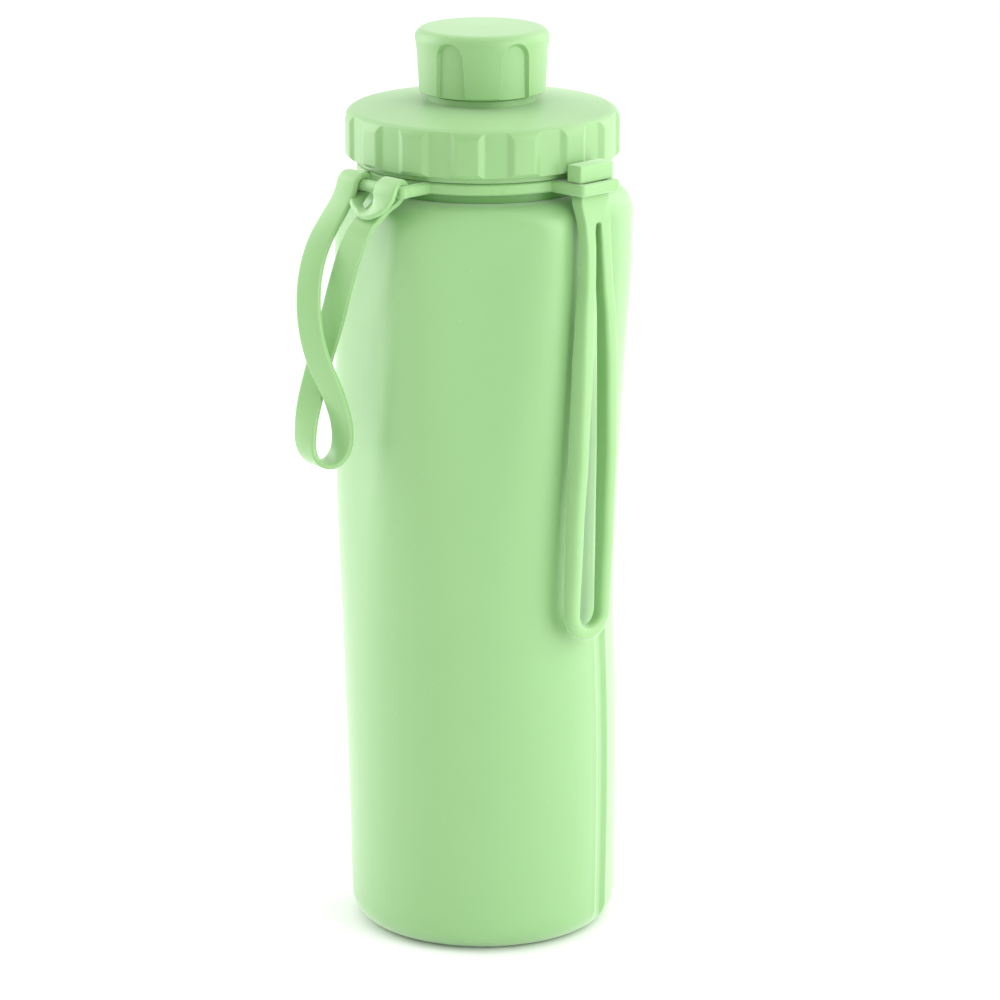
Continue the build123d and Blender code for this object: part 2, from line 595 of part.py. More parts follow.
# ---------------------------------------------------------------- carry loop
def carry_loop_hitch():
    """The two wraps of the carry loop round the lug's bar, and the bight behind it."""
    bore = BAR_RADIUS + TURNING_GAP
    wrap = Cylinder(HITCH_RADIUS, HITCH_WIDTH) - Cylinder(bore, HITCH_WIDTH)
    hitch = Rot(0, 90, 0) * Cylinder(BIGHT_RADIUS, 2 * HITCH_SPREAD)
    hitch = Pos(0, (bore + HITCH_RADIUS) / 2, 0) * hitch
    for side in (-1, 1):
        hitch += Pos(side * HITCH_SPREAD, 0, 0) * Rot(0, 90, 0) * wrap
    return facing(LEFT_LUG_AZIMUTH) * Pos(0, -LEFT_BAR_DISTANCE, RING_MIDDLE) * hitch


def carry_loop():
    """Round envelope of the flat strap, along its route."""
    turn = radians(LEFT_LUG_AZIMUTH)
    bar = Vector(LEFT_BAR_DISTANCE * sin(turn), -LEFT_BAR_DISTANCE * cos(turn), RING_MIDDLE)
    points = [Vector(*point) + bar - Vector(*ROUTE_BAR) for point in LOOP_ROUTE]
    radii = []
    for before, here, after in zip(points, points[1:], points[2:]):
        run_in = here - before
        run_out = after - here
        turn = run_in.get_angle(run_out)
        shorter = min(run_in.length, run_out.length)
        radii.append(0.45 * shorter / tan(radians(turn / 2)))
    path = FilletPolyline(*points, radius=radii)
    start = Plane(origin=path @ 0, z_dir=path % 0)
    tube = sweep(start * Circle(LOOP_WIDTH / 2), path=path)
    section = pi * (LOOP_WIDTH / 2) ** 2
    print("carry loop radii", [round(radius, 1) for radius in radii])
    print("carry loop length", round(path.length, 1), "volume ratio", round(tube.volume / section / path.length, 4))
    return tube


PARTS = {
    "bottle_body": bottle_body,
    "neck_insert": neck_insert,
    "strap_ring": strap_ring,
    "lid": lid,
    "lid_gasket": lid_gasket,
    "spout_cap": spout_cap,
    "spout_cap_seal": spout_cap_seal,
    "fold_strap_head": fold_strap_head,
    "fold_strap": fold_strap,
    "carry_loop_hitch": carry_loop_hitch,
    "carry_loop": carry_loop,
}

os.makedirs("parts", exist_ok=True)
for name, make in PARTS.items():
    export_step(make(), f"parts/{name}.step")
print("overall height", round(CAP_TOP, 2))
print("strap hinge", round(HINGE_DISTANCE, 2), round(HINGE_HEIGHT, 2), "bar", round(RING_MIDDLE, 2))
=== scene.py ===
"""Folding water bottle: soft silicone body, screw lid with a capped spout, and two straps.

Every length is in metres. The bottle stands on the floor at the origin, +Z runs up the
bottle, -Y is its front and +X is to the right when it is seen from the front. Bearings go
round from the front towards the right, in degrees.
"""

import logging
from dataclasses import dataclass, field
from enum import Enum
from math import cos, exp, radians, sin, sqrt
from typing import Callable, Iterable, Sequence

import bmesh
import bpy
from mathutils import Matrix, Vector


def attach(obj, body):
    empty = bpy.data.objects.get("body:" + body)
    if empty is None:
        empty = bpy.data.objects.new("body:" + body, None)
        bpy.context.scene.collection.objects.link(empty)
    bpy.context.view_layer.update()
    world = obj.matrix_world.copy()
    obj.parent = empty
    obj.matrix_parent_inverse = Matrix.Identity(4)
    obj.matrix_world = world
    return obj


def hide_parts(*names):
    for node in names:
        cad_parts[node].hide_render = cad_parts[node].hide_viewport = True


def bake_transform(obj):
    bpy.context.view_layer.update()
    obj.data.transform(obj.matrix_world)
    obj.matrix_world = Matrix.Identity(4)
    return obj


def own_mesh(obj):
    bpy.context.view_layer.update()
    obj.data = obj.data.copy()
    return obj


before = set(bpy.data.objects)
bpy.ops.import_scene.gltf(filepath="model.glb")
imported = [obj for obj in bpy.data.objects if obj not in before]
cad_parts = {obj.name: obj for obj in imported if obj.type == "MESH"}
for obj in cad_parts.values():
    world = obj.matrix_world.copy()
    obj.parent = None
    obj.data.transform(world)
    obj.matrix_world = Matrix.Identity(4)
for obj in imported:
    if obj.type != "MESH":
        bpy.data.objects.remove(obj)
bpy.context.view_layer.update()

log = logging.getLogger("folding_bottle")

MM = 0.001
Station = tuple[float, float]
Ring = list[Vector]


# ------------------------------------------------------------------ shader sums
class Value:
    """One number that changes over a surface, worked with ordinary Python signs."""

    def __init__(self, bench: "Bench", link: bpy.types.NodeSocket) -> None:
        """Wrap the output socket that carries the number."""
        self.bench = bench
        self.link = link

    def _sum(self, operation: str, first: object, second: object) -> "Value":
        """Add one Math node.

        Args:
            operation: The Math node's operation.
            first: Value or number for the first socket.
            second: Value or number for the second socket.

        Returns:
            The node's result as a value.
        """
        node = self.bench.add("ShaderNodeMath", {"operation": operation}, {0: first, 1: second})
        return Value(self.bench, node.outputs[0])

    def __add__(self, other: object) -> "Value":
        """Value plus other."""
        return self._sum("ADD", self, other)

    __radd__ = __add__

    def __sub__(self, other: object) -> "Value":
        """Value minus other."""
        return self._sum("SUBTRACT", self, other)

    def __rsub__(self, other: object) -> "Value":
        """Other minus value."""
        return self._sum("SUBTRACT", other, self)

    def __mul__(self, other: object) -> "Value":
        """Value times other."""
        return self._sum("MULTIPLY", self, other)

    __rmul__ = __mul__

    def clamped(self) -> "Value":
        """Value held between 0 and 1."""
        node = self.bench.add("ShaderNodeClamp", {}, {"Value": self})
        return Value(self.bench, node.outputs[0])

    def between(self, low: float, high: float) -> "Value":
        """Value turned into a soft 0 to 1 step.

        Args:
            low: Number that becomes 0.
            high: Number that becomes 1.

        Returns:
            The smoothed step.
        """
        sockets = {"Value": self, "From Min": low, "From Max": high}
        node = self.bench.add("ShaderNodeMapRange", {"interpolation_type": "SMOOTHSTEP"}, sockets)
        return Value(self.bench, node.outputs[0])


class Bench:
    """Workbench for one material: adds nodes and joins them up."""

    def __init__(self, name: str) -> None:
        """Start an empty material of that name."""
        self.material = bpy.data.materials.new(name)
        self.material.use_nodes = True
        self.tree = self.material.node_tree
        self.tree.nodes.clear()

    def add(
        self, kind: str, settings: dict[str, object], inputs: dict[object, object]
    ) -> bpy.types.Node:
        """Add one node of any type.

        Args:
            kind: The node's type name.
            settings: Properties to set first.
            inputs: Numbers, colours, values or sockets for its inputs, by name or place.

        Returns:
            The new node.
        """
        node = self.tree.nodes.new(kind)
        for key, setting in settings.items():
            setattr(node, key, setting)
        for key, what in inputs.items():
            socket = node.inputs[key]
            if isinstance(what, Value):
                what = what.link
            if isinstance(what, bpy.types.NodeSocket):
                self.tree.links.new(what, socket)
            else:
                socket.default_value = what
        return node

    def place(self) -> bpy.types.NodeSocket:
        """Where a point lies on the object, in metres."""
        return self.add("ShaderNodeTexCoord", {}, {}).outputs["Object"]

    def cloud(
        self, scale: float, detail: float, stretch: tuple[float, float, float] = (1, 1, 1)
    ) -> Value:
        """Soft random cloud.

        Args:
            scale: Blotches to the metre.
            detail: Layers of finer blotches.
            stretch: How the cloud is squeezed along each axis.

        Returns:
            The cloud, about 0.5 on average.
        """
        turned = self.add("ShaderNodeMapping", {}, {"Vector": self.place(), "Scale": stretch})
        sockets = {"Vector": turned.outputs[0], "Scale": scale, "Detail": detail, "Roughness": 0.55}
        return Value(self, self.add("ShaderNodeTexNoise", {}, sockets).outputs[0])

    def specks(self, scale: float, size: float) -> Value:
        """Scattered round specks.

        Args:
            scale: Specks to the metre.
            size: Reach of each speck as a share of its cell.

        Returns:
            1 in a speck and 0 outside it.
        """
        cells = self.add("ShaderNodeTexVoronoi", {}, {"Vector": self.place(), "Scale": scale})
        split = self.add("ShaderNodeSeparateColor", {}, {0: cells.outputs["Color"]})
        kept = Value(self, split.outputs[0])
        near = 1 - Value(self, cells.outputs["Distance"]).between(size * 0.4, size)
        return near * kept.between(0.80, 0.84)

    def edges(self) -> Value:
        """Sharpness of the surface, above 0.5 on outside edges."""
        return Value(self, self.add("ShaderNodeNewGeometry", {}, {}).outputs["Pointiness"])

    def blend(self, amount: object, first: object, second: object) -> bpy.types.NodeSocket:
        """Mix two colours.

        Args:
            amount: 0 for the first colour, 1 for the second.
            first: Colour or socket.
            second: Colour or socket.

        Returns:
            The mixed colour.
        """
        node = self.add("ShaderNodeMix", {"data_type": "RGBA"}, {0: amount, 6: first, 7: second})
        return node.outputs[2]

    def bump(self, height: Value, reach: float, strength: float) -> bpy.types.NodeSocket:
        """Surface relief.

        Args:
            height: Relief from 0 to 1.
            reach: Its depth in metres.
            strength: Share of it that shows.

        Returns:
            The bent normal.
        """
        sockets = {"Height": height, "Distance": reach, "Strength": strength}
        return self.add("ShaderNodeBump", {}, sockets).outputs[0]

    def finish(self, surface: dict[str, object]) -> bpy.types.Material:
        """Join everything to one surface and hand over the material.

        Args:
            surface: Inputs of the Principled surface.

        Returns:
            The material.
        """
        shader = self.add("ShaderNodeBsdfPrincipled", {}, surface)
        self.add("ShaderNodeOutputMaterial", {}, {0: shader.outputs[0]})
        return self.material


Colour = tuple[float, float, float, float]
SHEEN_TINT: Colour = (0.88, 1.0, 0.84, 1.0)
SHEEN_ROUGHNESS = 0.45
SPECULAR = 0.80


@dataclass(frozen=True)
class Silicone:
    """Matt moulded silicone with a fine mould grain, soft blotches, a little lint and painted
    highlights on its edges.
    """

    name: str
    tint: Colour
    pale: Colour
    gloss: float
    grain: float
    lint: float
    sheen: float = 0.80
    blotches: float = 60.0

    def material(self) -> bpy.types.Material:
        """Build the finish."""
        bench = Bench(self.name)
        blotch = bench.cloud(self.blotches, 3.0)
        handled = bench.cloud(9.0, 2.0, (1.0, 1.0, 0.45))
        fine = bench.cloud(2600.0, 2.0)
        pores = bench.cloud(900.0, 3.0)
        lint = bench.specks(420.0, 0.16) * self.lint
        # Painted highlight: convex edges are mixed towards the pale colour, as if light caught
        # them.
        painted_edge_light = bench.edges().between(0.51, 0.60)
        colour = bench.blend((blotch * 0.35 + painted_edge_light * 0.20).clamped(), self.tint, self.pale)
        colour = bench.blend(lint, colour, (0.86, 0.90, 0.84, 1.0))
        rough = self.gloss + (handled - 0.5) * 0.14 + (fine - 0.5) * 0.10 + lint * 0.3
        relief = fine * 0.65 + pores * 0.35 + lint
        return bench.finish({
            "Base Color": colour,
            "Roughness": rough.clamped(),
            "Sheen Weight": self.sheen,
            "Sheen Roughness": SHEEN_ROUGHNESS,
            "Sheen Tint": SHEEN_TINT,
            "Specular IOR Level": SPECULAR,
            "Normal": bench.bump(relief, 0.00008, self.grain),
        })


@dataclass(frozen=True)
class MouldedPlastic:
    """Soft-touch plastic with a spark-eroded grain, faint moulding flow and painted highlights on
    its edges.
    """

    name: str
    tint: Colour
    pale: Colour
    gloss: float
    grain: float
    sheen: float = 0.40

    def material(self) -> bpy.types.Material:
        """Build the finish."""
        bench = Bench(self.name)
        flow = bench.cloud(45.0, 2.0, (1.0, 1.0, 0.3))
        sparks = bench.cloud(3200.0, 1.0)
        ripple = bench.cloud(260.0, 2.0)
        # Painted highlight: convex edges are mixed towards the pale colour, as if light caught
        # them.
        painted_edge_light = bench.edges().between(0.515, 0.62)
        colour = bench.blend((flow * 0.30 + painted_edge_light * 0.15).clamped(), self.tint, self.pale)
        return bench.finish({
            "Base Color": colour,
            "Roughness": (self.gloss + (sparks - 0.5) * 0.12 + (flow - 0.5) * 0.08).clamped(),
            "Sheen Weight": self.sheen,
            "Sheen Roughness": SHEEN_ROUGHNESS,
            "Sheen Tint": SHEEN_TINT,
            "Specular IOR Level": SPECULAR,
            "Normal": bench.bump(sparks * 0.7 + ripple * 0.3, 0.00005, self.grain),
        })


@dataclass(frozen=True)
class SealRubber:
    """Milky translucent sealing silicone."""

    name: str
    tint: Colour

    def material(self) -> bpy.types.Material:
        """Build the finish."""
        bench = Bench(self.name)
        haze = bench.cloud(500.0, 2.0)
        colour = bench.blend(haze * 0.5, self.tint, (0.93, 0.95, 0.92, 1.0))
        return bench.finish({
            "Base Color": colour,
            "Roughness": 0.32 + haze * 0.12,
            "Normal": bench.bump(haze, 0.00005, 0.2),
        })


@dataclass(frozen=True)
class StudioPaper:
    """Seamless white paper for the floor."""

    name: str = "studio_paper"

    def material(self) -> bpy.types.Material:
        """Build the finish."""
        bench = Bench(self.name)
        fibre = bench.cloud(240.0, 3.0)
        colour = bench.blend(fibre * 0.2, (0.93, 0.93, 0.93, 1.0), (0.90, 0.90, 0.90, 1.0))
        return bench.finish({"Base Color": colour, "Roughness": 0.9, "Specular IOR Level": 0.1})


class Finish(Enum):
    """The bottle's finishes."""

    BODY = Silicone(
        "body_silicone_finish",
        tint=(0.246, 0.488, 0.180, 1.0),
        pale=(0.280, 0.520, 0.210, 1.0),
        gloss=0.40,
        grain=0.20,
        lint=0.05,
    )
    STRAP = Silicone(
        "strap_silicone_finish",
        tint=(0.250, 0.500, 0.176, 1.0),
        pale=(0.300, 0.550, 0.215, 1.0),
        gloss=0.40,
        grain=0.14,
        lint=0.03,
    )
    LID = MouldedPlastic(
        "lid_plastic_finish",
        tint=(0.236, 0.468, 0.166, 1.0),
        pale=(0.290, 0.515, 0.208, 1.0),
        gloss=0.40,
        grain=0.14,
    )
    # Painted shade: the neck is the lid's green plastic, coloured darker and greener for the shade
    # in the gap under the strap ring.
    NECK = MouldedPlastic(
        "neck_plastic_painted_shade",
        tint=(0.130, 0.380, 0.075, 1.0),
        pale=(0.165, 0.420, 0.100, 1.0),
        gloss=0.38,
        grain=0.08,
    )
    SEAL = SealRubber("seal_silicone_finish", (0.78, 0.82, 0.77, 1.0))
    PAPER = StudioPaper()

    def material(self) -> bpy.types.Material:
        """The finish's material, made on first use."""
        made = bpy.data.materials.get(self.value.name)
        return made or self.value.material()


# ------------------------------------------------------------------ mesh helpers
def bearing(angle: float) -> tuple[Vector, Vector]:
    """Outward and sideways directions at a bearing.

    Args:
        angle: Bearing from the front, in degrees.

    Returns:
        The outward direction and the one along the wall, to the right.
    """
    a = radians(angle)
    return Vector((sin(a), -cos(a), 0)), Vector((cos(a), sin(a), 0))


def eased(share: float) -> float:
    """Smooth 0 to 1 step of a share."""
    s = min(1.0, max(0.0, share))
    return s * s * (3 - 2 * s)


def along_table(table: Sequence[Sequence[float]], where: float, column: int = 1) -> float:
    """Read a table with smooth steps between its rows.

    Args:
        table: Rows that begin with rising positions.
        where: Position to read at.
        column: Column to read.

    Returns:
        The value there.
    """
    if where <= table[0][0]:
        return table[0][column]
    for low, high in zip(table, table[1:]):
        if where <= high[0]:
            share = (where - low[0]) / (high[0] - low[0])
            return low[column] + (high[column] - low[column]) * (0.5 * share + 0.5 * eased(share))
    return table[-1][column]


def skin(name: str, rings: Sequence[Ring], closed: bool = False) -> bpy.types.Object:
    """Join rings of points into one closed surface.

    Args:
        name: The piece's name.
        rings: Rings with the same number of points.
        closed: Whether the last ring joins the first, instead of both ends being capped.

    Returns:
        The new object.
    """
    mesh = bpy.data.meshes.new(name)
    bm = bmesh.new()
    rows = [[bm.verts.new(p) for p in ring] for ring in rings]
    count = len(rings[0])
    for first, second in zip(rows, rows[1:] + (rows[:1] if closed else [])):
        for i in range(count):
            j = (i + 1) % count
            bm.faces.new((first[i], first[j], second[j], second[i]))
    if not closed:
        for row in (rows[0], rows[-1]):
            middle = bm.verts.new(sum((v.co for v in row), Vector()) / count)
            for i in range(count):
                bm.faces.new((row[i], row[(i + 1) % count], middle))
    bmesh.ops.recalc_face_normals(bm, faces=bm.faces)
    bm.to_mesh(mesh)
    bm.free()
    mesh.shade_smooth()
    piece = bpy.data.objects.new(name, mesh)
    bpy.context.scene.collection.objects.link(piece)
    return piece


def joined(name: str, parts: Sequence[bpy.types.Object]) -> bpy.types.Object:
    """Put several closed surfaces into one piece.

    Args:
        name: Name of the joined piece.
        parts: Its surfaces, which are used up.

    Returns:
        The joined piece.
    """
    bm = bmesh.new()
    for part in parts:
        bm.from_mesh(part.data)
        bpy.data.objects.remove(part)
    mesh = bpy.data.meshes.new(name)
    bm.to_mesh(mesh)
    bm.free()
    mesh.shade_smooth()
    piece = bpy.data.objects.new(name, mesh)
    bpy.context.scene.collection.objects.link(piece)
    return piece


def rounded_section(width: float, depth: float, corner: float, steps: int = 4) -> list[Station]:
    """Outline of a rectangle with rounded corners.

    Args:
        width: Its width.
        depth: Its thickness.
        corner: Radius of its corners.
        steps: Points to each corner, less one.

    Returns:
        Points round the outline.
    """
    corner = min(corner, width / 2 - 1e-6, depth / 2 - 1e-6)
    points = []
    for k, (sx, sy) in enumerate(((1, 1), (-1, 1), (-1, -1), (1, -1))):
        for i in range(steps + 1):
            a = radians(90 * k + 90 * i / steps)
            x = sx * (width / 2 - corner) + corner * cos(a)
            y = sy * (depth / 2 - corner) + corner * sin(a)
            points.append((x, y))
    return points


def smooth_line(name: str, points: Iterable[Sequence[float]], order: int = 3) -> list[Vector]:
    """Follow one smooth curve through a route.

    Args:
        name: Name for the curve while it is measured.
        points: The route's points.
        order: Smoothness of the curve.

    Returns:
        Points along the smooth curve.
    """
    data = bpy.data.curves.new(name, "CURVE")
    data.dimensions = "3D"
    data.resolution_u = 10
    spline = data.splines.new("NURBS")
    points = list(points)
    spline.points.add(len(points) - 1)
    for slot, point in zip(spline.points, points):
        slot.co = (*point, 1.0)
    spline.order_u = order
    spline.use_endpoint_u = True
    carrier = bpy.data.objects.new(name, data)
    bpy.context.scene.collection.objects.link(carrier)
    bpy.context.view_layer.update()
    mesh = bpy.data.meshes.new_from_object(carrier)
    line = [v.co.copy() for v in mesh.vertices]
    bpy.data.objects.remove(carrier)
    bpy.data.meshes.remove(mesh)
    return line


def band_rings(
    line: Sequence[Vector],
    widths: Callable[[float], float],
    depth: float,
    corner: float,
    across: Callable[[float], Vector],
) -> list[Ring]:
    """Lay a flat strap's rings along a line.

    Args:
        line: Points of the strap's middle line.
        widths: Strap width at each share of the length.
        depth: Strap thickness.
        corner: Radius of its edges.
        across: Direction of its width at each share of the length.

    Returns:
        One ring for each point of the line.
    """
    lengths = [0.0]
    for a, b in zip(line, line[1:]):
        lengths.append(lengths[-1] + (b - a).length)
    rings = []
    for i, point in enumerate(line):
        ahead = line[min(i + 1, len(line) - 1)] - line[max(i - 1, 0)]
        run = ahead.normalized()
        share = lengths[i] / lengths[-1]
        side = across(share)
        side = (side - run * side.dot(run)).normalized()
        face = run.cross(side)
        outline = rounded_section(widths(share), depth, corner)
        rings.append([point + side * x + face * y for x, y in outline])
    return rings


# ------------------------------------------------------------------ the soft body
@dataclass
class BottleBody:
    """Thin silicone body: round at the base, six soft facets at the shoulder."""

    base_radius: float = 33.4 * MM
    top_radius: float = 37.2 * MM
    height: float = 190.8 * MM
    base_edge: float = 6.4 * MM
    shoulder: float = 8.0 * MM
    wall: float = 1.8 * MM
    neck_hole: float = 27.1 * MM
    pocket_depth: float = 6.4 * MM
    facets: int = 6
    facet_inset: float = 3.6 * MM
    facet_start: float = 52.0 * MM
    fold_bearings: tuple[float, float] = (63.0, -117.0)
    fold_width: float = 5.0 * MM
    fold_depth: float = 0.8 * MM
    waist_depth: float = 0.55 * MM
    waist_height: float = 88.0 * MM
    waist_reach: float = 26.0 * MM
    lip_height: float = 0.16 * MM
    valley_depth: float = 1.7 * MM
    valley_reach: float = 4.6 * MM
    corner_sharpness: float = 34.0
    front_hollow: float = 0.55 * MM
    side_hollow: float = 0.30 * MM
    right_fullness: float = 0.9 * MM
    unevenness: float = 0.10 * MM
    lean: float = 1.5 * MM
    lean_height: float = 103.0 * MM
    points_round: int = 300

    def round_radius(self, z: float) -> float:
        """Radius of the plain round form, with its base edge and shoulder, at a height."""
        radius = self.base_radius + (self.top_radius - self.base_radius) * z / self.height
        radius -= self.waist_depth * exp(-(((z - self.waist_height) / self.waist_reach) ** 2))
        low = self.base_edge - z
        if low > 0:
            radius -= self.base_edge - sqrt(max(0.0, self.base_edge**2 - low**2))
        high = z - (self.height - self.shoulder)
        if high > 0:
            radius -= self.shoulder - sqrt(max(0.0, self.shoulder**2 - high**2))
        return radius

    def facet_distance(self, z: float) -> float:
        """Distance of the flat facets from the middle at a height."""
        share = (z - self.facet_start) / (self.height - self.shoulder - self.facet_start)
        start = self.base_radius + 2.6 * MM
        end = self.top_radius - self.facet_inset
        return start + (end - start) * max(0.0, share)

    def fold_line(self, angle: float, z: float) -> float:
        """How far the folding lines draw the wall in.

        Args:
            angle: Bearing in degrees.
            z: Height.

        Returns:
            The depth of the channel and of the valley above it.
        """
        depth = 0.0
        for line in self.fold_bearings:
            off = (angle - line + 180) % 360 - 180
            reach = abs(radians(off)) * 35 * MM
            half = self.fold_width / 2
            floor = 1 - eased((reach - half * 0.62) / (half * 0.42))
            lip = exp(-(((reach - half * 1.25) / (half * 0.30)) ** 2))
            upper = eased((z - 128 * MM) / (45 * MM)) * (1 - eased((z - 181 * MM) / (9 * MM)))
            fading = 1 - 0.75 * eased((z - 140 * MM) / (30 * MM))
            lower = eased((z - 1.5 * MM) / (4 * MM)) * fading
            depth += self.fold_depth * floor * lower - self.lip_height * lip * lower
            depth += self.valley_depth * upper * exp(-((reach / self.valley_reach) ** 2))
        return depth

    def wall_radius(self, angle: float, z: float) -> float:
        """Outside radius of the body.

        Args:
            angle: Bearing in degrees.
            z: Height.

        Returns:
            The radius there.
        """
        sharp = self.corner_sharpness
        total = self.round_radius(z) ** -sharp
        flat = self.facet_distance(z)
        for k in range(self.facets):
            facing = cos(radians(angle - k * 360 / self.facets))
            if facing > 0:
                total += (facing / flat) ** sharp
        radius = total ** (-1 / sharp)
        hollow = eased((z - 95 * MM) / (60 * MM)) * (1 - eased((z - 170 * MM) / (18 * MM)))
        near = (angle + 180) % 360 - 180
        radius -= self.front_hollow * hollow * exp(-((near / 17) ** 2))
        left = exp(-(((near + 62) / 22) ** 2)) * exp(-(((z - 120 * MM) / (35 * MM)) ** 2))
        radius -= self.side_hollow * left
        right = exp(-(((near - 90) / 26) ** 2)) * eased((z - 140 * MM) / (34 * MM))
        radius += self.right_fullness * right
        return radius - self.fold_line(angle, z)

    def ring(self, z: float, inset: float = 0.0, radius: float | None = None) -> Ring:
        """One ring of the wall.

        Args:
            z: Height.
            inset: Distance in from the outside.
            radius: A plain round radius, instead of the wall's.

        Returns:
            The ring's points.
        """
        points = []
        bow = -self.lean * exp(-(((z - self.lean_height) / (44 * MM)) ** 2))
        for i in range(self.points_round):
            angle = 360 * i / self.points_round
            outward, _ = bearing(angle)
            reach = radius
            if radius is None:
                reach = self.wall_radius(angle, max(z, 0.0)) - inset
                reach += self.unevenness * sin(radians(2 * angle + 40)) * eased(z / (60 * MM))
            points.append(outward * reach + Vector((bow, 0, z)))
        return points

    def heights(self) -> list[float]:
        """Heights of the wall's rings, close together on its curves."""
        base = [self.base_edge * (1 - cos(radians(a))) for a in range(9, 90, 9)]
        bend = self.height - self.shoulder
        side = [self.base_edge + (bend - self.base_edge) * k / 110 for k in range(111)]
        top = [bend + self.shoulder * sin(radians(a)) for a in range(5, 90, 5)]
        return base + side + top

    def build(self) -> bpy.types.Object:
        """Build the body over its CAD solid.

        Returns:
            The dressed body.
        """
        flat = self.base_radius - self.base_edge
        rings = [self.ring(0.9 * MM, radius=flat * s) for s in (0.25, 0.6)]
        rings += [self.ring(0.8 * MM, radius=flat * 0.80), self.ring(0.15 * MM, radius=flat * 0.86)]
        rings.append(self.ring(0.0, radius=flat * 0.90))
        rings.append(self.ring(0.0, radius=flat))
        rings += [self.ring(z) for z in self.heights()]
        top = self.height
        rings.append(self.ring(top, radius=28.6 * MM))
        rings.append(self.ring(top, radius=self.neck_hole + 0.3 * MM))
        rings.append(self.ring(top - 0.3 * MM, radius=self.neck_hole))
        pocket = top - self.pocket_depth
        rings.append(self.ring(pocket, radius=self.neck_hole))
        rings.append(self.ring(pocket - 1.0 * MM, radius=self.neck_hole + 1.2 * MM))
        steps = 24
        for k in range(steps + 1):
            z = (top - 10 * MM) * (1 - k / steps) + (self.base_edge + self.wall) * k / steps
            rings.append(self.ring(z, inset=self.wall))
        rings.append(self.ring(self.wall + 1.0 * MM, radius=flat))
        rings.append(self.ring(self.wall + 0.6 * MM, radius=flat * 0.4))
        piece = skin("silicone_body", rings)
        piece.data.materials.append(Finish.BODY.material())
        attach(piece, "body")
        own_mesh(piece)
        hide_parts("bottle_body")
        return piece


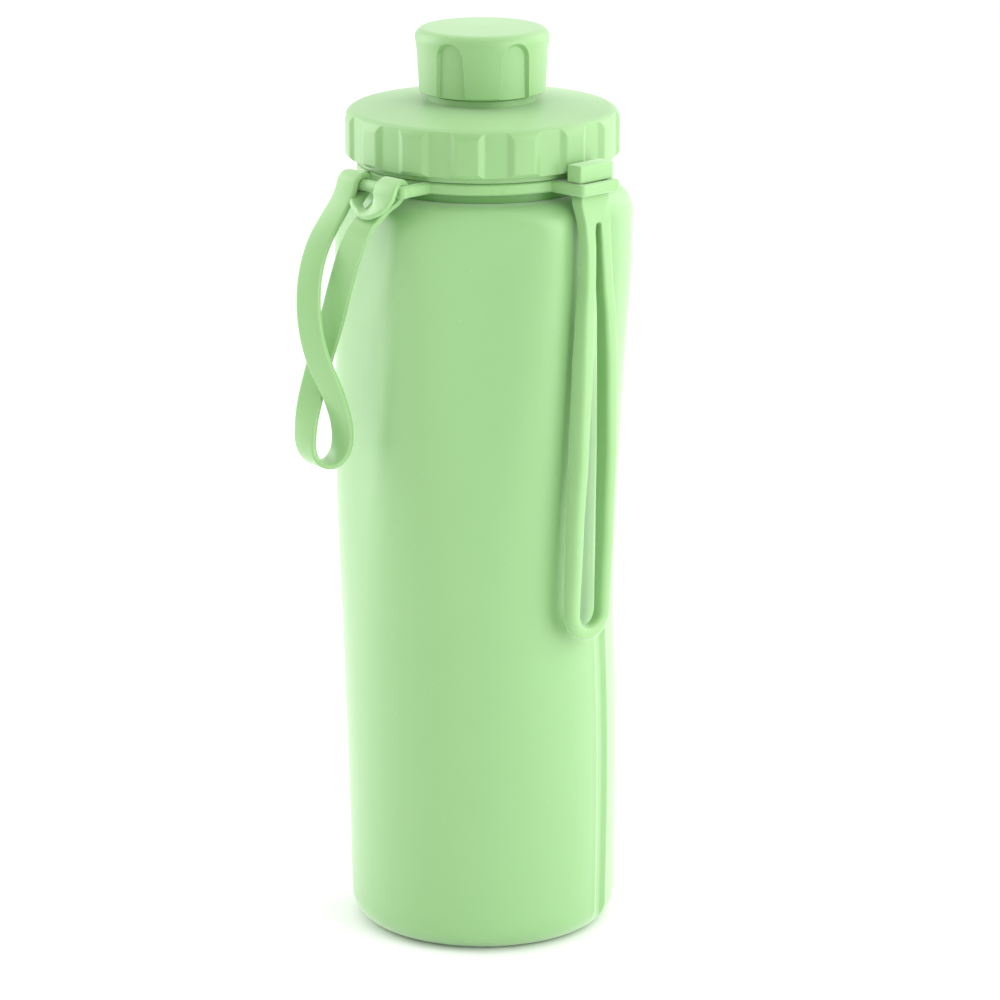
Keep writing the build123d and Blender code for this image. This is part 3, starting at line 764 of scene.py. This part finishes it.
# ------------------------------------------------------------------ the slotted strap
@dataclass
class FoldStrap:
    """Right-hand strap: a bar head above its lug, and a long slotted loop below it."""

    turn: float = 45.5
    head_size: tuple[float, float, float] = (11.6 * MM, 4.6 * MM, 4.3 * MM)
    head_bottom: float = 196.25 * MM
    head_distance: float = 36.8 * MM
    top: float = 193.1 * MM
    slot_top: float = 186.2 * MM
    end_centre: float = 88.0 * MM
    end_outer: float = 7.2 * MM
    end_inner: float = 3.6 * MM
    hinge_height: float = 190.1 * MM
    hinge_distance: float = 37.2 * MM
    bend_above: float = 1.6 * MM
    bend_below: float = 5.0 * MM
    top_half_width: float = 5.4 * MM
    slot_arc: float = 0.9 * MM
    stem_size: tuple[float, float, float] = (6.0 * MM, 1.9 * MM, 6.0 * MM)
    stem_bottom: float = 191.6 * MM
    # height, distance out, sideways drift, outer and slot half widths, thickness, edge radius
    shape: tuple[tuple[float, ...], ...] = (
        (88.0, 38.0, -1.7, 7.2, 3.60, 3.8, 1.50),
        (109.0, 38.4, -1.3, 7.2, 3.60, 4.5, 1.40),
        (130.0, 38.8, -0.7, 6.8, 3.15, 4.9, 1.25),
        (150.0, 39.0, -0.4, 6.3, 2.55, 4.7, 1.15),
        (162.0, 39.1, -0.3, 5.7, 2.00, 4.1, 1.00),
        (172.0, 39.2, -0.4, 4.7, 1.25, 3.5, 0.85),
        (180.0, 39.1, -0.5, 4.3, 0.95, 3.2, 0.70),
        (186.0, 38.3, -0.3, 4.4, 0.90, 3.3, 0.60),
        (190.0, 37.3, 0.0, 4.9, 0.9, 3.6, 0.50),
        (193.1, 36.7, 0.0, 5.4, 0.9, 3.8, 0.45),
    )

    def at(self, z: float, column: int) -> float:
        """One column of the shape at a height in metres, turned into metres."""
        return along_table(self.shape, z / MM, column) * MM

    def stations(self) -> list[tuple[Station, Station]]:
        """Pairs of inner and outer outline points, once round the loop from its top middle."""
        right = [((0.0, self.slot_top), (0.0, self.top))]
        arc = self.slot_arc
        for k in range(1, 5):
            a = radians(90 - 22.5 * k)
            inner = (arc * cos(a), self.slot_top - arc + arc * sin(a))
            right.append((inner, (self.top_half_width * k / 4.6, self.top)))
        for k in range(1, 6):
            z = self.top - (self.top - 184.0 * MM) * k / 5
            inner = self.slot_top - arc - (self.slot_top - arc - 183.6 * MM) * k / 5
            right.append(((self.at(inner, 4), inner), (self.at(z, 3), z)))
        z = 184.0 * MM
        while z > self.end_centre + 2.0 * MM:
            z -= 1.6 * MM
            right.append(((self.at(z, 4), z), (self.at(z, 3), z)))
        for k in range(0, 10):
            a = radians(-9.0 * k)
            inner = (self.end_inner * cos(a), self.end_centre + self.end_inner * sin(a))
            outer = (self.end_outer * cos(a), self.end_centre + self.end_outer * sin(a))
            right.append((inner, outer))
        bottom = ((0.0, self.end_centre - self.end_inner), (0.0, self.end_centre - self.end_outer))
        left = [((-i[0], i[1]), (-o[0], o[1])) for i, o in reversed(right[1:])]
        return right + [bottom] + left

    def placed(self, sideways: float, z: float, depth: float) -> Vector:
        """A point of the strap, from its place on the flat pattern.

        Args:
            sideways: Distance along the lug.
            z: Height.
            depth: Distance out from the strap's middle layer.

        Returns:
            The point.
        """
        outward, along = bearing(self.turn)
        out = self.at(z, 1) + depth
        point = outward * out + along * (sideways + self.at(z, 2))
        return Vector((point.x, point.y, z))

    def loop(self) -> bpy.types.Object:
        """The slotted loop, one closed ring of rounded sections."""
        rings = []
        for inner, outer in self.stations():
            middle = Vector(((inner[0] + outer[0]) / 2, (inner[1] + outer[1]) / 2))
            span = Vector(outer) - Vector(inner)
            thick = self.at(middle.y, 5)
            ring = []
            for x, y in rounded_section(span.length, thick, self.at(middle.y, 6), 5):
                flat = middle + span.normalized() * x
                ring.append(self.placed(flat.x, flat.y, y))
            rings.append(ring)
        return skin("strap_loop", rings, closed=True)

    def block(
        self, size: tuple[float, float, float], low: float, edge: float, out: float
    ) -> bpy.types.Object:
        """A small block with bevelled edges, square to the lug.

        Args:
            size: Its length along the lug, depth and height.
            low: Height of its underside.
            edge: Radius of its edges.
            out: Distance of its middle from the bottle's axis.

        Returns:
            The block.
        """
        outward, along = bearing(self.turn)
        bm = bmesh.new()
        bmesh.ops.create_cube(bm, size=1.0)
        bmesh.ops.scale(bm, vec=size, verts=bm.verts)
        bmesh.ops.bevel(bm, geom=bm.edges, offset=edge, segments=4, profile=0.5, affect="EDGES")
        place = Matrix.Translation(outward * out + Vector((0, 0, low + size[2] / 2)))
        spin = Matrix((along, -outward, (0, 0, 1))).transposed().to_4x4()
        bmesh.ops.transform(bm, matrix=place @ spin, verts=bm.verts)
        mesh = bpy.data.meshes.new("strap_block")
        bm.to_mesh(mesh)
        bm.free()
        block = bpy.data.objects.new("strap_block", mesh)
        bpy.context.scene.collection.objects.link(block)
        return block

    def build(self) -> bpy.types.Object:
        """Build the strap over its two CAD solids.

        Returns:
            The dressed strap.
        """
        head = self.block(self.head_size, self.head_bottom, 0.45 * MM, self.head_distance)
        stem = self.block(self.stem_size, self.stem_bottom, 0.2 * MM, self.head_distance)
        piece = joined("fold_strap_moulding", [self.loop(), head, stem])
        piece.data.materials.append(Finish.STRAP.material())
        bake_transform(piece)
        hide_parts("fold_strap", "fold_strap_head")
        return piece


# ------------------------------------------------------------------ the hanging loop
@dataclass
class CarryLoop:
    """Left-hand strap: one flat band hitched round the bar of its lug and left to hang.

    The hanging band runs over the bar's left end, down, back up behind itself and up behind
    the bar's right end. The knot goes on from there and closes the loop under the bar.
    """

    turn: float = -45.0
    bar_distance: float = 37.0 * MM
    bar_height: float = 194.65 * MM
    width: float = 6.5 * MM
    depth: float = 1.6 * MM
    edge: float = 0.55 * MM
    length: float = 0.150
    exit: tuple[float, float, float] = (-0.0321, -0.0229, 0.1929)
    # the band over and just below the bar, at its left and right, in millimetres from the
    # bar's middle: along the bar, out and up
    left_turn: tuple[tuple[float, float, float], ...] = (
        (-6.4, -2.5, 0.15),
        (-6.4, -1.6, 2.15),
        (-6.4, 0.6, 2.45),
        (-6.4, 2.4, 1.35),
        (-6.5, 2.9, -0.85),
        (-6.9, 3.6, -3.15),
        (-7.4, 4.8, -5.55),
    )
    right_turn: tuple[tuple[float, float, float], ...] = (
        (2.4, 3.3, -6.85),
        (3.4, 0.9, -4.45),
        (5.2, -1.8, -1.85),
        (6.4, -2.5, 0.85),
    )
    # the band between those turns, as it hangs, in metres
    hang: tuple[tuple[float, float, float], ...] = (
        (-0.0367, -0.0244, 0.1860),
        (-0.0398, -0.0252, 0.1804),
        (-0.0419, -0.0269, 0.1730),
        (-0.0423, -0.0282, 0.1646),
        (-0.0413, -0.0288, 0.1570),
        (-0.0394, -0.0288, 0.1506),
        (-0.0368, -0.0282, 0.1448),
        (-0.0350, -0.0272, 0.1390),
        (-0.0340, -0.0263, 0.1336),
        (-0.0346, -0.0261, 0.1284),
        (-0.0374, -0.0264, 0.1254),
        (-0.0410, -0.0269, 0.1257),
        (-0.0433, -0.0272, 0.1292),
        (-0.0433, -0.0265, 0.1348),
        (-0.0423, -0.0246, 0.1408),
        (-0.0408, -0.0225, 0.1468),
        (-0.0389, -0.0213, 0.1534),
        (-0.0365, -0.0224, 0.1612),
        (-0.0345, -0.0253, 0.1698),
        (-0.0321, -0.0284, 0.1784),
        (-0.0294, -0.0315, 0.1854),
    )
    # the knot, in millimetres from the bar's middle: along the bar, out and up; then the
    # band's share of its full width, and the direction of its width in the same axes
    knot: tuple[tuple[float, ...], ...] = (
        (6.4, -2.4, 0.8, 0.92, 1.0, 0.0, 0.0),
        (6.5, -1.4, 2.1, 0.95, 1.0, 0.0, 0.0),
        (6.8, 0.6, 2.4, 1.00, 1.0, 0.0, 0.0),
        (7.2, 2.6, 1.2, 1.04, 1.0, 0.0, -0.05),
        (7.4, 3.6, -0.9, 1.00, 1.0, 0.0, -0.25),
        (6.7, 4.3, -3.0, 0.80, 0.9, 0.3, -0.7),
        (4.9, 4.9, -4.9, 0.56, 0.5, 0.7, -0.7),
        (2.4, 5.0, -5.9, 0.44, 0.0, 1.0, -0.5),
        (-0.4, 4.5, -5.3, 0.42, -0.3, 1.0, 0.2),
        (-2.8, 3.3, -4.0, 0.50, -0.6, 0.8, 0.3),
        (-4.6, 1.4, -3.1, 0.66, -0.9, 0.4, 0.1),
        (-5.9, -1.3, -1.9, 0.86, -1.0, 0.1, 0.0),
        (-6.4, -2.4, 0.4, 0.92, -1.0, 0.0, 0.0),
    )
    # share of the length, then the direction of the band's width
    lie: tuple[tuple[float, float, float, float], ...] = (
        (0.00, 0.71, -0.71, 0.00),
        (0.08, 0.72, -0.69, -0.05),
        (0.15, 0.84, -0.54, 0.00),
        (0.32, 0.90, -0.43, 0.00),
        (0.44, 0.78, -0.62, 0.00),
        (0.52, 0.52, -0.85, 0.05),
        (0.57, 0.78, -0.60, 0.12),
        (0.62, 0.93, -0.36, 0.05),
        (0.70, 0.92, -0.40, 0.00),
        (0.80, 0.86, -0.50, 0.00),
        (0.92, 0.80, -0.60, 0.00),
        (0.97, 0.72, -0.70, 0.00),
        (1.00, 0.71, -0.71, 0.00),
    )

    def across(self, share: float) -> Vector:
        """Direction of the band's width at a share of its length."""
        return Vector([along_table(self.lie, share, k) for k in (1, 2, 3)]).normalized()

    def by_bar(self, along: float, out: float, up: float) -> tuple[float, float, float]:
        """A point given from the middle of the bar.

        Args:
            along: Distance along the bar, in millimetres.
            out: Distance outwards, in millimetres.
            up: Distance upwards, in millimetres.

        Returns:
            The point in metres.
        """
        outward, side = bearing(self.turn)
        point = outward * (self.bar_distance + out * MM) + side * along * MM
        return (point.x, point.y, self.bar_height + up * MM)

    def turn_points(self, rows: Sequence[tuple[float, float, float]]) -> list[tuple[float, ...]]:
        """Points over the bar, to a tenth of a millimetre like the rest of the band's route."""
        return [tuple(round(n, 4) for n in self.by_bar(*row)) for row in rows]

    def hitch(self) -> bpy.types.Object:
        """The hitch: two turns over the bar, joined by a bight that crosses in front below it.

        Returns:
            The dressed hitch.
        """
        line = smooth_line("knot_route", [self.by_bar(*row[:3]) for row in self.knot])
        table = [(0.0, *self.knot[0][3:])]
        for before, row in zip(self.knot, self.knot[1:]):
            step = (Vector(row[:3]) - Vector(before[:3])).length
            table.append((table[-1][0] + step, *row[3:]))
        whole = table[-1][0]
        outward, side = bearing(self.turn)

        def width(share: float) -> float:
            """Band width along the knot."""
            return self.width * along_table(table, share * whole, 1)

        def lie(share: float) -> Vector:
            """Direction of the band's width along the knot."""
            along, out, up = (along_table(table, share * whole, k) for k in (2, 3, 4))
            return (side * along + outward * out + Vector((0, 0, up))).normalized()

        piece = skin("carry_loop_knot", band_rings(line, width, self.depth, self.edge, lie))
        piece.data.materials.append(Finish.STRAP.material())
        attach(piece, "carry_loop")
        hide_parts("carry_loop_hitch")
        return piece

    def build(self) -> list[bpy.types.Object]:
        """Build the hanging band and its hitch.

        Returns:
            The band and the hitch.
        """
        left = self.turn_points(self.left_turn)
        right = self.turn_points(self.right_turn)
        line = smooth_line("carry_route", [*left, *self.hang, *right])
        rings = band_rings(line, lambda share: self.width, self.depth, self.edge, self.across)
        band = skin("carry_loop_band", rings)
        band.data.materials.append(Finish.STRAP.material())
        hitch = self.hitch()
        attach(band, "carry_loop")
        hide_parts("carry_loop")
        return [band, hitch]


# ------------------------------------------------------------------ the stiff pieces
@dataclass
class MouldedPieces:
    """Neck, ring, lid, cap and seals, which keep their exact shape and get their finish."""

    finishes: dict[str, Finish] = field(
        default_factory=lambda: {
            # painted shade: the neck takes the darkened finish that stands in for the shade in its
            # gap
            "neck_insert": Finish.NECK,
            "strap_ring": Finish.STRAP,
            "lid": Finish.LID,
            "lid_gasket": Finish.SEAL,
            "spout_cap": Finish.LID,
            "spout_cap_seal": Finish.SEAL,
        }
    )

    def build(self) -> list[bpy.types.Object]:
        """Dress each piece.

        Returns:
            The dressed pieces.
        """
        pieces = []
        for name, finish in self.finishes.items():
            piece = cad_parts[name]
            for place in piece.material_slots:
                place.material = finish.material()
            pieces.append(piece)
        return pieces


# ------------------------------------------------------------------ the studio
@dataclass
class Studio:
    """White paper, softboxes to the sides, an overhead silk and the camera."""

    camera_place: tuple[float, float, float] = (0.0044, -1.150, 0.420)
    camera_pitch: float = 15.13
    lens: float = 170.2
    surround: float = 0.81
    middle: tuple[float, float, float] = (0.0, 0.0, 0.150)
    silk_spread: float = 80.0
    silk_tilt: tuple[float, float] = (-20.0, 12.0)
    paper_reach: float = 4.0

    def softbox(
        self, name: str, place: Sequence[float], size: tuple[float, float], power: float
    ) -> None:
        """Hang one softbox that looks at the bottle.

        Args:
            name: Its name.
            place: Where it hangs.
            size: Its width and height.
            power: Its power in watts.
        """
        data = bpy.data.lights.new(name, "AREA")
        data.shape = "RECTANGLE"
        data.size, data.size_y = size
        data.energy = power
        lamp = bpy.data.objects.new(name, data)
        lamp.location = place
        look = Vector(self.middle) - Vector(place)
        lamp.rotation_euler = look.to_track_quat("-Z", "Y").to_euler()
        bpy.context.scene.collection.objects.link(lamp)

    def overhead(self, name: str, strength: float) -> None:
        """Spread even light from above, through a wide silk.

        Args:
            name: Its name.
            strength: Its strength on the floor.
        """
        data = bpy.data.lights.new(name, "SUN")
        data.energy = strength
        data.angle = radians(self.silk_spread)
        lamp = bpy.data.objects.new(name, data)
        lamp.rotation_euler = (*map(radians, self.silk_tilt), 0)
        bpy.context.scene.collection.objects.link(lamp)

    def lights(self) -> None:
        """Light the set."""
        world = bpy.data.worlds.new("soft_surround")
        world.use_nodes = True
        world.node_tree.nodes["Background"].inputs["Color"].default_value = (1.0, 1.0, 1.0, 1.0)
        world.node_tree.nodes["Background"].inputs["Strength"].default_value = self.surround
        bpy.context.scene.world = world
        self.softbox("right_softbox", (0.72, -0.38, 0.46), (0.80, 0.9), 5.0)
        self.softbox("left_softbox", (-0.82, 0.28, 0.48), (0.85, 0.9), 5.8)
        self.softbox("far_right_softbox", (0.74, 0.44, 0.48), (0.70, 0.9), 3.0)
        self.overhead("overhead_silk", 0.80)

    def floor(self) -> bpy.types.Object:
        """Lay the paper.

        Returns:
            The floor.
        """
        mesh = bpy.data.meshes.new("paper_floor")
        reach = self.paper_reach
        corners = [(-reach, -reach, 0), (reach, -reach, 0), (reach, reach, 0), (-reach, reach, 0)]
        mesh.from_pydata(corners, [], [(0, 1, 2, 3)])
        paper = bpy.data.objects.new("paper_floor", mesh)
        paper.data.materials.append(Finish.PAPER.material())
        bpy.context.scene.collection.objects.link(paper)
        return paper

    def camera(self) -> None:
        """Set up the camera."""
        data = bpy.data.cameras.new("bottle_camera")
        data.lens = self.lens
        data.sensor_width = 36.0
        data.clip_start = 0.05
        lens = bpy.data.objects.new("bottle_camera", data)
        lens.location = self.camera_place
        lens.rotation_euler = (radians(90 - self.camera_pitch), 0, 0)
        bpy.context.scene.collection.objects.link(lens)
        bpy.context.scene.camera = lens

    def build(self) -> list[bpy.types.Object]:
        """Set the studio up.

        Returns:
            Its floor.
        """
        bpy.context.scene.view_settings.view_transform = "Standard"
        self.camera()
        self.lights()
        return [self.floor()]


def main() -> None:
    """Build every sub-assembly in order and report its pieces."""
    logging.basicConfig(level=logging.INFO, format="%(message)s")
    Studio().build()
    for part in (BottleBody(), MouldedPieces(), FoldStrap(), CarryLoop()):
        built = part.build()
        for piece in built if isinstance(built, list) else [built]:
            log.info("%s: %s, %d faces", type(part).__name__, piece.name, len(piece.data.polygons))


if __name__ == "__main__":
    main()
